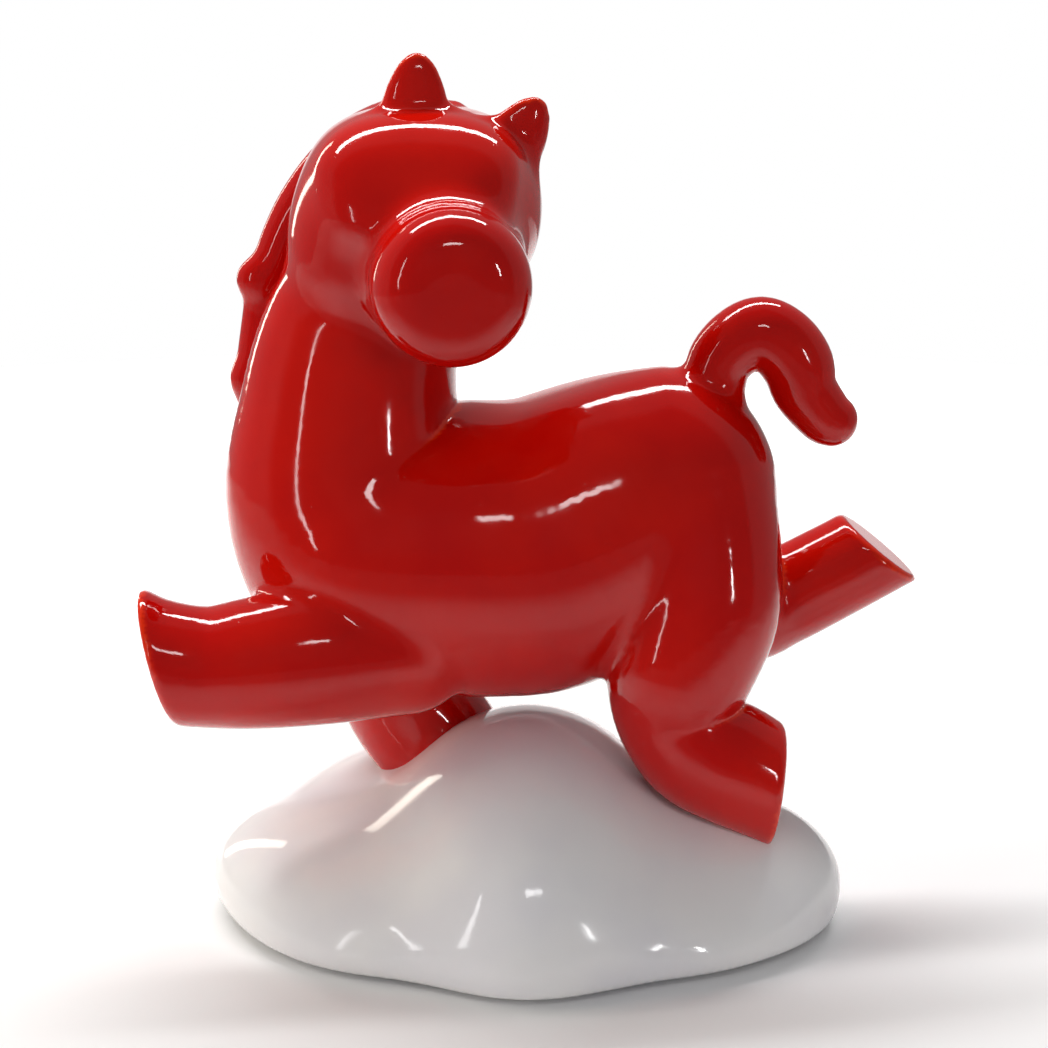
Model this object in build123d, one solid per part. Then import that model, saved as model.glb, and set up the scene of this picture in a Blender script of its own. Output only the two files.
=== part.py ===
"""Glazed ceramic horse leaping over a white cloud, as the castings and fittings that it is put together from.

The horse faces -X, its left side is towards -Y, and +Z is up.
The origin is the middle of the felt's underside, on the surface that the ornament stands on.
"""

from build123d import *

import os
from math import cos, pi, radians, sin, sqrt

# Cloud casting and the felt under it, in millimetres
CLOUD_WIDTH = 160.0
CLOUD_DEPTH = 132.0
CLOUD_HEIGHT = 50.5
CLOUD_WALL = 5.0
FOOT_ROUND = 3.0
MOUND_FILLET = 18.0
FELT_THICKNESS = 2.0
FELT_MARGIN = 4.0

# Mounds of the cloud: middle and half sizes, as shares of its half width, its half depth and its height
CLOUD_MOUNDS = {
    "crest": ((-0.04, -0.14, 0.00), (0.50, 0.88, 1.00)),
    "left": ((-0.55, 0.02, 0.16), (0.45, 0.56, 0.38)),
    "right": ((0.55, -0.14, 0.16), (0.43, 0.45, 0.45)),
    "back_left": ((-0.40, 0.53, 0.04), (0.40, 0.47, 0.55)),
    "front_left": ((-0.45, -0.33, 0.08), (0.38, 0.45, 0.32)),
    "front_right": ((0.40, -0.29, 0.08), (0.41, 0.52, 0.26)),
    "back_right": ((0.29, 0.42, 0.08), (0.50, 0.48, 0.40)),
}
RING_POINTS = 32
RING_SHARES = (0.0, 0.1, 0.3, 0.5, 0.7, 0.86, 0.97)

# Trunk and neck of the horse
BELLY_GAP = 7.5
BARREL_DIAMETER = 71.0
RUMP_DIAMETER = 53.0
RUMP_RISE = 20.0
CHEST_DIAMETER = 69.0
CHEST_RISE = 3.0
SHOULDER_DIAMETER = 61.0
NECK_DIAMETER = 54.0
THROAT_DIAMETER = 40.0
TRUNK_LENGTH = 67.0
NECK_RISE = 82.0
NECK_BOW = 13.0
NECK_SEAM_RISE = 23.0
NECK_SEAM_SLOPE = 30.0
CASTING_WALL = 4.0

# Head, which is turned to the horse's left
HEAD_BACK = 8.5
HEAD_ASIDE = 4.0
HEAD_RISE = 3.5
SKULL_WIDTH = 52.0
SKULL_HEIGHT = 46.0
BROW_RISE = 4.0
MUZZLE_DIAMETER = 36.0
MUZZLE_START = 30.0
MUZZLE_LENGTH = 18.0
MUZZLE_ROUND = 9.0
MUZZLE_DROOP = 15.0
MUZZLE_TURN = 8.0

# Ears, mane and tail
EAR_HEIGHT = 26.0
EAR_WIDTH = 17.0
EAR_THICKNESS = 7.0
EAR_ROUND = 2.5
RIGHT_EAR_LEAN = 1.0
LEFT_EAR_LEAN = 32.0
MANE_WIDTH = 12.0
MANE_HEIGHT = 22.0
LOCK_DIAMETER = 15.0
LOCK_STAND = 2.0
TAIL_DIAMETER = 20.0
TAIL_SEAT = 11.0
TAIL_RISE = 35.0
TAIL_REACH = 38.0
TAIL_TIP_DIAMETER = 9.0

# Legs, each with a flat hoof
FORELEG_DIAMETER = 33.0
THIGH_DIAMETER = 47.0
SHANK_DIAMETER = 29.0
HOOF_DIAMETER = 27.0
FORE_REACH = 60.0
FORE_DROP = 22.0
FORE_SPREAD = 26.0
ROOT_SPREAD = 14.0
KNEE_AHEAD = 6.5
FOLD_REACH = 18.5
FOLD_DROP = 22.0
LEG_SPREAD = 19.0
STIFLE_BACK = 7.0
THIGH_RISE = 14.0
HOOF_STEP = 11.5
HIND_REACH = 55.0
KICK_DROP = 15.0
HOOF_ROUND = 1.5
LEFT_FORE_TILT = -14.0
LEFT_HIND_TILT = -6.0
RIGHT_HIND_TILT = 51.0
SEAT_SINK = 2.5
THIGH_SPLIT = 2.0

# Pins that hold the horse on the cloud, and the vents that join the hollows
DOWEL_DIAMETER = 6.0
DOWEL_IN_LEG = 10.0
DOWEL_IN_CLOUD = 12.0
BOND_GAP = 0.15
BOSS_WALL = 4.0
VENT_DIAMETER = 5.0

CLOUD_FOOT = FELT_THICKNESS
CLOUD_TOP = CLOUD_FOOT + CLOUD_HEIGHT
TRUNK_Z = CLOUD_TOP + BELLY_GAP + BARREL_DIAMETER / 2
RUMP_X = TRUNK_LENGTH / 2
CHEST_X = -TRUNK_LENGTH / 2
HEAD_CENTRE = Vector(CHEST_X + HEAD_BACK, -HEAD_ASIDE, TRUNK_Z + NECK_RISE + HEAD_RISE)
HIND_SEAT_X = 0.32 * CLOUD_WIDTH
CREST_X = CLOUD_MOUNDS["crest"][0][0] * CLOUD_WIDTH / 2
CREST_Y = CLOUD_MOUNDS["crest"][0][1] * CLOUD_DEPTH / 2


def mix(first, last, share):
    """Value that lies the given share of the way between two values."""
    return first + (last - first) * share


def heading(points, index):
    """Unit direction of a spine at one of its points."""
    before = Vector(*points[max(index - 1, 0)])
    after = Vector(*points[min(index + 1, len(points) - 1)])
    return (after - before).normalized()


def cross_plane(origin, normal):
    """Plane across a spine, with its X direction kept towards +Y so that the sections don't twist."""
    across = Vector(0, 1, 0) - normal * normal.Y
    return Plane(origin=origin, x_dir=across, z_dir=normal)


def half_ball(radius):
    """Half of a sphere that stands on the XY plane."""
    return Sphere(radius) & Pos(0, 0, radius) * Box(4 * radius, 4 * radius, 2 * radius)


def tube(stations, inset=0.0, dome_end=False):
    """Smooth limb through stations of x, y, z and radius, with a round root and, if asked, a round end."""
    points = [station[:3] for station in stations]
    radii = [station[3] - inset for station in stations]
    last = len(points) - 1
    sections = []
    for index, radius in enumerate(radii):
        sections.append(cross_plane(points[index], heading(points, index)) * Circle(radius))
    limb = loft(sections)
    limb += cross_plane(points[0], heading(points, 0) * -1) * half_ball(radii[0])
    if dome_end:
        limb += cross_plane(points[last], heading(points, last)) * half_ball(radii[last])
    return limb


def facing(ahead, tilt):
    """Direction of a hoof's flat face, towards -X or +X and tilted up by an angle in degrees."""
    return Vector(ahead * cos(radians(tilt)), 0, sin(radians(tilt)))


def rod(start, end, diameter):
    """Round bar between two points."""
    span = Vector(*end) - Vector(*start)
    bar = Cylinder(diameter / 2, span.length, align=(Align.CENTER, Align.CENTER, Align.MIN))
    return cross_plane(start, span.normalized()) * bar


def blend(first, second):
    """Smaller of two distances, eased by the fillet of the mounds where they are alike."""
    share = min(max(0.5 + (second - first) / (2 * MOUND_FILLET), 0.0), 1.0)
    return mix(second, first, share) - MOUND_FILLET * share * (1 - share)


def mound_gap(place, middle, half):
    """Nearly true distance of a place from one mound, negative inside it."""
    units = (CLOUD_WIDTH / 2, CLOUD_DEPTH / 2, CLOUD_HEIGHT)
    near = 0.0
    steep = 0.0
    for value, unit, share, size in zip(place, units, middle, half):
        away = (value / unit - share) / size
        near += away**2
        steep += (away / (size * unit)) ** 2
    return (near - sqrt(near)) / sqrt(max(steep, 1e-12))


def cloud_gap(x, y, z):
    """Nearly true distance of a point from the cloud's skin, negative inside it."""
    gaps = [mound_gap((x, y, z - CLOUD_FOOT), middle, half) for middle, half in CLOUD_MOUNDS.values()]
    total = gaps[0]
    for gap in gaps[1:]:
        total = blend(total, gap)
    return total


def crossing(gap, inside, outside):
    """Value between one inside the cloud and one outside, at which the gap is closed."""
    for _ in range(30):
        middle = (inside + outside) / 2
        if gap(middle) < 0:
            inside = middle
        else:
            outside = middle
    return inside


def cloud_ring(z, inset):
    """Outline of the cloud at one height, drawn in from its skin by the inset."""
    points = []
    for step in range(RING_POINTS):
        angle = 2 * pi * step / RING_POINTS
        ahead, aside = cos(angle), sin(angle)
        reach = crossing(
            lambda far: cloud_gap(CREST_X + far * ahead, CREST_Y + far * aside, z) + inset, 0, CLOUD_WIDTH
        )
        points.append((CREST_X + reach * ahead, CREST_Y + reach * aside))
    return make_face(Spline(*points, periodic=True))


def cloud_form(inset=0.0):
    """Solid cloud that stands on the felt, drawn in by the inset except at its foot."""
    sections = []
    for share in RING_SHARES:
        z = CLOUD_FOOT + share * (CLOUD_HEIGHT - inset)
        draw = inset if share else inset + FOOT_ROUND
        sections.append(Pos(0, 0, z) * cloud_ring(z, draw))
    return loft(sections)


def cloud_surface(x, y):
    """Height of the cloud's skin over a point."""
    return crossing(lambda z: cloud_gap(x, y, z), CLOUD_FOOT, 2 * CLOUD_TOP)


def barrel_stations():
    """Spine of the barrel, from the rump to the chest."""
    return [
        (RUMP_X, 0, TRUNK_Z + RUMP_RISE, RUMP_DIAMETER / 2),
        (0.55 * RUMP_X, 0, TRUNK_Z + 0.5 * RUMP_RISE, mix(RUMP_DIAMETER, BARREL_DIAMETER, 0.67) / 2),
        (0.06 * RUMP_X, 0, TRUNK_Z + 0.08 * RUMP_RISE, BARREL_DIAMETER / 2),
        (0.46 * CHEST_X, 0, TRUNK_Z, BARREL_DIAMETER / 2),
        (CHEST_X, 0, TRUNK_Z + CHEST_RISE, CHEST_DIAMETER / 2),
    ]


def neck_stations():
    """Spine of the neck, from inside the chest to the throat."""
    shape = [
        (0.06, 0.40, 1.05 * SHOULDER_DIAMETER),
        (0.21, 0.88, SHOULDER_DIAMETER),
        (0.41, 1.00, NECK_DIAMETER),
    ]
    for up, bow in ((0.62, 0.85), (0.82, 0.38), (1.00, -0.19)):
        shape.append((up, bow, mix(NECK_DIAMETER, THROAT_DIAMETER, (up - 0.41) / 0.59)))
    return [(CHEST_X - NECK_BOW * bow, 0, TRUNK_Z + NECK_RISE * up, wide / 2) for up, bow, wide in shape]


def left_fore_stations():
    """Foreleg that is stretched ahead on the near side."""
    radius = FORELEG_DIAMETER / 2
    hoof = HOOF_DIAMETER / 2
    shape = [
        (0.00, ROOT_SPREAD, 0.68, 1.06 * radius),
        (0.23, mix(ROOT_SPREAD, FORE_SPREAD, 0.85), 0.80, radius),
        (0.47, FORE_SPREAD, 0.89, mix(radius, hoof, 0.2)),
        (0.75, FORE_SPREAD, 1.00, mix(radius, hoof, 0.6)),
        (1.00, FORE_SPREAD, 0.93, 1.07 * hoof),
    ]
    stations = []
    for ahead, aside, drop, wide in shape:
        stations.append((CHEST_X - ahead * FORE_REACH, -aside, TRUNK_Z - drop * FORE_DROP, wide))
    return stations


def right_fore_stations():
    """Folded foreleg on the far side, whose hoof runs into the cloud."""
    radius = FORELEG_DIAMETER / 2
    hoof = HOOF_DIAMETER / 2
    root_z = TRUNK_Z - 0.64 * FORE_DROP
    knee_z = mix(root_z, CLOUD_TOP, 0.66)
    return [
        (CHEST_X, ROOT_SPREAD, root_z, 0.97 * radius),
        (CHEST_X - KNEE_AHEAD, LEG_SPREAD, knee_z, mix(radius, hoof, 0.5)),
        (CHEST_X - 0.23 * KNEE_AHEAD, LEG_SPREAD, CLOUD_TOP, mix(radius, hoof, 0.8)),
        (CHEST_X + 0.6 * FOLD_REACH, 0.95 * LEG_SPREAD, CLOUD_TOP - 0.6 * FOLD_DROP, hoof),
        (CHEST_X + FOLD_REACH, 0.9 * LEG_SPREAD, CLOUD_TOP - FOLD_DROP, hoof),
    ]


def left_hind_stations():
    """Hind leg on the near side, which stands on the cloud's flank."""
    shank = SHANK_DIAMETER / 2
    hoof = HOOF_DIAMETER / 2
    hoof_x = HIND_SEAT_X + HOOF_STEP
    seat_z = cloud_surface(HIND_SEAT_X, -LEG_SPREAD) + hoof - SEAT_SINK
    hoof_z = cloud_surface(hoof_x, -LEG_SPREAD) + hoof - SEAT_SINK
    thigh_z = TRUNK_Z + THIGH_RISE
    stifle_z = TRUNK_Z - 0.2 * THIGH_RISE
    knee_z = mix(TRUNK_Z, seat_z, 0.57)
    return [
        (RUMP_X + 0.7 * STIFLE_BACK, -0.3 * LEG_SPREAD, thigh_z, THIGH_DIAMETER / 2),
        (RUMP_X + STIFLE_BACK, -0.8 * LEG_SPREAD, stifle_z, mix(THIGH_DIAMETER / 2, shank, 0.38)),
        (RUMP_X + 0.43 * STIFLE_BACK, -LEG_SPREAD, knee_z, 1.1 * shank),
        (HIND_SEAT_X, -LEG_SPREAD, seat_z, mix(shank, hoof, 0.5)),
        (hoof_x, -LEG_SPREAD, hoof_z, hoof),
    ]


def right_hind_stations():
    """Hind leg on the far side, kicked out behind."""
    shank = SHANK_DIAMETER / 2
    return [
        (RUMP_X + STIFLE_BACK, 0.53 * LEG_SPREAD, TRUNK_Z, mix(THIGH_DIAMETER / 2, shank, 0.35)),
        (RUMP_X + 0.46 * HIND_REACH, 0.9 * LEG_SPREAD, TRUNK_Z - KICK_DROP, 1.07 * shank),
        (RUMP_X + 0.75 * HIND_REACH, 0.95 * LEG_SPREAD, TRUNK_Z - 0.8 * KICK_DROP, 0.97 * shank),
        (RUMP_X + HIND_REACH, 0.95 * LEG_SPREAD, TRUNK_Z - 0.27 * KICK_DROP, 0.48 * HOOF_DIAMETER),
    ]


def tail_stations():
    """Arched tail from the top of the rump to its tip."""
    rump_z = TRUNK_Z + RUMP_RISE
    radius = TAIL_DIAMETER / 2
    shape = [
        (0.73 * TAIL_SEAT, 0.46, 0.75),
        (TAIL_SEAT, 0.74, 0.85),
        (mix(TAIL_SEAT, TAIL_REACH, 0.2), 0.94, 1.0),
        (mix(TAIL_SEAT, TAIL_REACH, 0.45), 1.0, 1.0),
        (mix(TAIL_SEAT, TAIL_REACH, 0.7), 0.9, 0.97),
        (mix(TAIL_SEAT, TAIL_REACH, 0.85), 0.68, 0.9),
        (TAIL_REACH, 0.47, 0.8),
    ]
    stations = [(RUMP_X + back, 0, rump_z + up * TAIL_RISE, wide * radius) for back, up, wide in shape]
    tip = (RUMP_X + TAIL_REACH + 0.5 * TAIL_SEAT, 0, rump_z + 0.31 * TAIL_RISE, TAIL_TIP_DIAMETER / 2)
    return stations + [tip]


def mane_stations():
    """Crest line of the mane up the back of the neck and over the poll, with its share of the full height."""
    neck = neck_stations()
    line = []
    for index, stand, share in ((1, 0.0, 0.75), (2, 0.0, 1.0), (3, 0.08, 1.0), (4, 0.33, 1.0)):
        x, y, z, radius = neck[index]
        reach = radius + stand * MANE_WIDTH
        line.append((x - 0.83 * reach, y + 0.55 * reach, z, share))
    for ahead, up, share in ((-0.56, 0.0, 0.95), (-0.36, 0.27, 0.8), (-0.14, 0.42, 0.55), (0.06, 0.44, 0.2)):
        line.append(
            (
                HEAD_CENTRE.X + ahead * SKULL_WIDTH,
                HEAD_CENTRE.Y + 0.3 * SKULL_WIDTH,
                HEAD_CENTRE.Z + up * SKULL_HEIGHT,
                share,
            )
        )
    return line


def head_form(inset=0.0):
    """Skull, brow and muzzle as one form, drawn in all round by the inset."""
    wide = SKULL_WIDTH / 2
    high = SKULL_HEIGHT / 2
    nose = MUZZLE_DIAMETER / 2
    rings = [
        (-0.28 * high, 0.93 * high, 0.93 * high, 0.0),
        (0.20 * high, wide, high, 0.5),
        (0.55 * high, 0.95 * wide, high, 0.9),
        (0.95 * high, mix(nose, wide, 0.3), mix(nose, high, 0.3), 0.2),
        (MUZZLE_START, nose, nose, 0.0),
    ]
    sections = []
    for ahead, half_width, half_height, lift in rings:
        sections.append(Pos(0, lift * BROW_RISE, ahead) * Ellipse(half_width - inset, half_height - inset))
    nose_end = Cylinder(nose - inset, MUZZLE_LENGTH - inset, align=(Align.CENTER, Align.CENTER, Align.MIN))
    nose_end = fillet(nose_end.edges().sort_by(Axis.Z)[-1], MUZZLE_ROUND - inset)
    form = loft(sections)
    form += Pos(0, 0, rings[0][0]) * Rot(180, 0, 0) * half_ball(rings[0][1] - inset)
    form += Pos(0, 0, MUZZLE_START) * nose_end
    return Pos(HEAD_CENTRE) * Rot(0, 0, MUZZLE_TURN) * Rot(90 + MUZZLE_DROOP, 0, 0) * form


def head_shell():
    """Hollow head casting with a vent into the neck."""
    vent = rod(neck_stations()[-2][:3], HEAD_CENTRE, VENT_DIAMETER)
    return head_form() - head_form(CASTING_WALL) - vent


def body_form():
    """Barrel and neck as one solid form."""
    return tube(barrel_stations(), dome_end=True) + tube(neck_stations())


def neck_side():
    """Room above the slanted seam between the trunk and the neck."""
    reach = 4 * TRUNK_LENGTH
    slope = radians(NECK_SEAM_SLOPE)
    seam = cross_plane((CHEST_X, 0, TRUNK_Z + NECK_SEAM_RISE), Vector(-sin(slope), 0, cos(slope)))
    return seam * Pos(0, 0, reach / 2) * Box(reach, reach, reach)


def hollow_body(body, head, vent_ends):
    """Hollow barrel and neck, open at the throat, with a vent into each leg."""
    shell = body - head
    shell -= tube(barrel_stations(), inset=CASTING_WALL, dome_end=True)
    shell -= tube(neck_stations()[:-1], inset=CASTING_WALL, dome_end=True)
    for start, end in vent_ends:
        shell -= rod(start, end, VENT_DIAMETER)
    return shell


def ear(foot, lean, head):
    """Petal ear with its face to the front, seated on the head."""
    half = EAR_WIDTH / 2
    foot_half = 0.75 * half
    middle = (-half, 0.42 * EAR_HEIGHT)
    shoulder = (-0.55 * half, 0.8 * EAR_HEIGHT)
    rim = Spline((-foot_half, 0), middle, shoulder, (0, EAR_HEIGHT))
    leaf = make_face(rim + mirror(rim, Plane.YZ) + Line((-foot_half, 0), (foot_half, 0)))
    petal = extrude(leaf, EAR_THICKNESS / 2, both=True)
    petal = fillet([edge for edge in petal.edges() if edge.center().Y > EAR_ROUND], EAR_ROUND)
    return Pos(foot) * Rot(0, lean, 0) * Rot(90, 0, 0) * petal - head


def mane(body, head):
    """Mane ridge with two round locks on its edge."""
    stations = mane_stations()
    points = [station[:3] for station in stations]
    sections = []
    for index, point in enumerate(points):
        share = stations[index][3]
        outline = Ellipse(mix(0.5, 1.0, share) * MANE_WIDTH / 2, share * MANE_HEIGHT / 2)
        sections.append(cross_plane(point, heading(points, index)) * outline)
    ridge = loft(sections)
    for index in (1, 3):
        stand = (MANE_HEIGHT - LOCK_DIAMETER) / 2 + LOCK_STAND
        edge = Vector(*points[index]) + Vector(-0.8, 0.4, 0.4) * stand
        ridge += Pos(edge) * Sphere(LOCK_DIAMETER / 2)
    return ridge - body - head


def tail(body):
    """Solid tail, seated on the rump."""
    return tube(tail_stations(), dome_end=True) - body


def hoofed_limb(stations, hoof_normal):
    """Limb that runs on past its last station and is cut flat there, with the rim of the hoof rounded."""
    points = [station[:3] for station in stations]
    hoof = Vector(*points[-1])
    past = hoof + heading(points, len(points) - 1) * HOOF_DIAMETER
    limb = tube(stations + [(past.X, past.Y, past.Z, stations[-1][3])])
    waste = Pos(0, 0, 2 * HOOF_DIAMETER) * Box(6 * HOOF_DIAMETER, 6 * HOOF_DIAMETER, 4 * HOOF_DIAMETER)
    limb -= cross_plane(hoof, hoof_normal) * waste
    face = limb.faces().filter_by(GeomType.PLANE).sort_by_distance(hoof)[0]
    return fillet(face.edges(), HOOF_ROUND)


def leg(stations, hollow_to, hoof_normal, trimmers, pin_hole=None):
    """Leg casting, hollow and open at its root, trimmed where it meets its neighbours."""
    limb = hoofed_limb(stations, hoof_normal) if hoof_normal else tube(stations)
    if pin_hole:
        limb -= pin_hole
    limb -= tube(stations[: hollow_to + 1], inset=CASTING_WALL, dome_end=True)
    for other in trimmers:
        limb -= other
    return limb


def dowel_seats():
    """Points on the cloud's skin where the two pins cross it, by node name."""
    fore = (CHEST_X + 0.43 * FOLD_REACH, 0.95 * LEG_SPREAD)
    hind = (HIND_SEAT_X + 0.2 * HOOF_STEP, -LEG_SPREAD)
    return {
        "fore_dowel": Vector(*fore, cloud_surface(*fore)),
        "hind_dowel": Vector(*hind, cloud_surface(*hind)),
    }


def dowel(seat):
    """Steel pin that stands on the bottom of its hole in the cloud."""
    return rod(seat - Vector(0, 0, DOWEL_IN_CLOUD), seat + Vector(0, 0, DOWEL_IN_LEG), DOWEL_DIAMETER)


def dowel_hole(seat):
    """Room for a pin and its bond."""
    top = seat + Vector(0, 0, DOWEL_IN_LEG + BOND_GAP)
    return rod(seat - Vector(0, 0, DOWEL_IN_CLOUD), top, DOWEL_DIAMETER + 2 * BOND_GAP)


def cloud_shell(outer, seats):
    """Hollow cloud casting, open below, with a post inside for each pin."""
    shell = outer - cloud_form(CLOUD_WALL)
    for seat in seats:
        post = rod(seat - Vector(0, 0, DOWEL_IN_CLOUD + BOSS_WALL), seat, DOWEL_DIAMETER + 2 * BOSS_WALL)
        shell += post & outer
        shell -= dowel_hole(seat)
    return shell


def base_felt():
    """Felt sheet under the cloud, drawn in from the cloud's foot."""
    return extrude(cloud_ring(CLOUD_FOOT, FOOT_ROUND + FELT_MARGIN), FELT_THICKNESS)


def build():
    """Every sub-part by its node name."""
    head = head_form()
    body = body_form()
    cloud = cloud_form()
    seats = dowel_seats()
    left_fore = left_fore_stations()
    right_fore = right_fore_stations()
    left_hind = left_hind_stations()
    right_hind = right_hind_stations()
    vents = []
    for stations, reach in ((left_fore, 2), (right_fore, 1), (left_hind, 1), (right_hind, 1)):
        vents.append((stations[0][:3], stations[reach][:3]))
    hole_fore = dowel_hole(seats["fore_dowel"])
    hole_hind = dowel_hole(seats["hind_dowel"])
    stand = facing(1, LEFT_HIND_TILT)
    kick = facing(1, RIGHT_HIND_TILT)
    reach = 4 * TRUNK_LENGTH
    right_half = Pos(0, THIGH_SPLIT + reach / 2, TRUNK_Z) * Box(reach, reach, reach)
    left_half = Pos(0, THIGH_SPLIT - reach / 2, TRUNK_Z) * Box(reach, reach, reach)
    shell = hollow_body(body, head, vents)
    right_ear_foot = HEAD_CENTRE + Vector(-0.07 * SKULL_WIDTH, 0.02 * SKULL_WIDTH, 0.26 * SKULL_HEIGHT)
    left_ear_foot = HEAD_CENTRE + Vector(0.3 * SKULL_WIDTH, 0.02 * SKULL_WIDTH, 0.14 * SKULL_HEIGHT)
    nodes = {
        "body_shell": shell - neck_side(),
        "neck_shell": shell & neck_side(),
        "head_shell": head_shell(),
        "right_ear": ear(right_ear_foot, RIGHT_EAR_LEAN, head),
        "left_ear": ear(left_ear_foot, LEFT_EAR_LEAN, head),
        "mane": mane(body, head),
        "tail": tail(body),
        "left_fore_leg": leg(left_fore, 2, facing(-1, LEFT_FORE_TILT), [body]),
        "right_fore_leg": leg(right_fore, 1, None, [body, cloud], hole_fore),
        "left_hind_leg": leg(left_hind, 1, stand, [right_half, body, cloud], hole_hind),
        "right_hind_leg": leg(right_hind, 2, kick, [left_half, body]),
        "cloud_shell": cloud_shell(cloud, seats.values()),
        "base_felt": base_felt(),
    }
    for name, seat in seats.items():
        nodes[name] = dowel(seat)
    return nodes


os.makedirs("parts", exist_ok=True)
for name, solid in build().items():
    export_step(solid, f"parts/{name}.step")
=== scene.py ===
"""Red glazed horse leaping over a white glazed cloud: the looks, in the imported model's frame.

The castings are described as round forms in millimetres that run into each other. One glaze skin is drawn
over all of them and is then parted along the joints, so that each casting is a closed piece of its own and
no seam shows.
"""

import logging
import math
from dataclasses import dataclass, field
from enum import Enum
from functools import reduce
from typing import Optional, Protocol, Sequence, Union

import bpy
import numpy as np
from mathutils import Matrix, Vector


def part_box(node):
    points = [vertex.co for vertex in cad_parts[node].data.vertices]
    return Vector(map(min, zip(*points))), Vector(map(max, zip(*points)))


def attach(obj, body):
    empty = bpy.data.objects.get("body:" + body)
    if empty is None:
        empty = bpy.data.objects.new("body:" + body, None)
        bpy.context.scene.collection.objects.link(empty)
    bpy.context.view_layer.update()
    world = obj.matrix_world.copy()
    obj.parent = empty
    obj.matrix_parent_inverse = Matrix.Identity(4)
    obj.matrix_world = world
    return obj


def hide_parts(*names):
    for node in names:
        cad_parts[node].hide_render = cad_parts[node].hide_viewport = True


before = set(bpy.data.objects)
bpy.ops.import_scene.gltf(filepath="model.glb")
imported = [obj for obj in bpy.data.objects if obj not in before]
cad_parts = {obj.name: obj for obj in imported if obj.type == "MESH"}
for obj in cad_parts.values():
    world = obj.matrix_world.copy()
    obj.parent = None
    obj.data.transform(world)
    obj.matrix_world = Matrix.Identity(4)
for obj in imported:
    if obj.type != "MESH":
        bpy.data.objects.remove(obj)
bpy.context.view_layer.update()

import openvdb
from mathutils import Vector

MM = 0.001
FAR = 1e3
TINY = 1e-9
LEAST_SHARE = 1e-4
CORNER_PAIRS = ((0, 1), (1, 2), (2, 0), (1, 0), (2, 1), (0, 2))
EDGE_MARK = "glaze_edge"

Array = np.ndarray
Point = tuple[float, float, float]
Station = tuple[float, float, float, float]
Colour = tuple[float, float, float]
Range = tuple[float, float]
Socket = bpy.types.NodeSocket

log = logging.getLogger("horse")


class Slot(Enum):
    """Material slots of the glazed castings."""

    RED = "red_glaze"
    WHITE = "white_glaze"


class Tone(Enum):
    """Colours of the lamps' light."""

    PLAIN = (1.0, 1.0, 1.0)
    WARM = (1.0, 0.93, 0.8)
    COOL = (0.96, 0.94, 1.0)


def smooth_min(first: Array, second: Array, radius: float) -> Array:
    """Union of two distance fields with a fillet between them.

    Args:
        first: Distances to the first form.
        second: Distances to the second form.
        radius: Reach of the fillet in millimetres.

    Returns:
        Distances to the blended form.
    """
    share = np.clip(0.5 + 0.5 * (second - first) / radius, 0.0, 1.0)
    return second + (first - second) * share - radius * share * (1.0 - share)


def smooth_max(first: Array, second: Array, radius: float) -> Array:
    """Common part of two distance fields with a rounded edge, the counterpart of smooth_min."""
    return -smooth_min(-first, -second, radius)


def unit(vector: Sequence[float]) -> Array:
    """Vector of length one in the given direction."""
    array = np.asarray(vector, float)
    return array / np.linalg.norm(array)


def row_units(rows: Array) -> Array:
    """Rows of vectors brought to length one."""
    return rows / np.maximum(np.linalg.norm(rows, axis=1), TINY)[:, None]


def upward(slope_deg: float) -> Point:
    """Direction straight out of a surface that climbs towards +X at a slope."""
    slope = math.radians(slope_deg)
    return (-math.sin(slope), 0.0, math.cos(slope))


class Form(Protocol):
    """Anything that knows its box and its distance from a set of points."""

    def box(self) -> tuple[Array, Array]:
        """Lowest and highest corners in millimetres."""

    def distance(self, points: Array) -> Array:
        """Distances of points from the form's surface, negative inside."""


@dataclass(frozen=True)
class Tube:
    """Round limb through stations of x, y, z and radius, smooth between them."""

    stations: tuple[Station, ...]
    steps: int = 6

    def spine(self) -> Array:
        """Stations on a smooth curve through the given ones.

        Returns:
            Rows of x, y, z and radius.
        """
        knots = np.array(self.stations, float)
        knots = np.vstack([2 * knots[0] - knots[1], knots, 2 * knots[-1] - knots[-2]])
        rows = []
        for before, start, end, after in zip(knots, knots[1:], knots[2:], knots[3:]):
            bend = 2 * before - 5 * start + 4 * end - after
            twist = 3 * start - before - 3 * end + after
            for t in np.arange(self.steps) / self.steps:
                rows.append(0.5 * (2 * start + (end - before) * t + bend * t**2 + twist * t**3))
        rows.append(knots[-2])
        return np.array(rows)

    def box(self) -> tuple[Array, Array]:
        """Lowest and highest corners of the limb."""
        spine = self.spine()
        return (spine[:, :3] - spine[:, 3:]).min(0), (spine[:, :3] + spine[:, 3:]).max(0)

    def distance(self, points: Array) -> Array:
        """Distances from the limb, taken cone by cone along its spine.

        Args:
            points: Places in millimetres.

        Returns:
            One distance per point.
        """
        spine = self.spine().astype(points.dtype)
        squares = (points**2).sum(1)
        nearest = np.full(len(points), FAR, points.dtype)
        for start, end in zip(spine, spine[1:]):
            along = end[:3] - start[:3]
            length = along @ along
            if length < TINY:
                continue
            ahead = (points @ along - start[:3] @ along) / length
            share = np.clip(ahead, 0.0, 1.0)
            away = squares - 2 * (points @ start[:3]) + start[:3] @ start[:3]
            away = away - share * (2 * ahead - share) * length
            radius = start[3] + share * (end[3] - start[3])
            nearest = np.minimum(nearest, np.sqrt(np.maximum(away, 0.0)) - radius)
        return nearest


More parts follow.
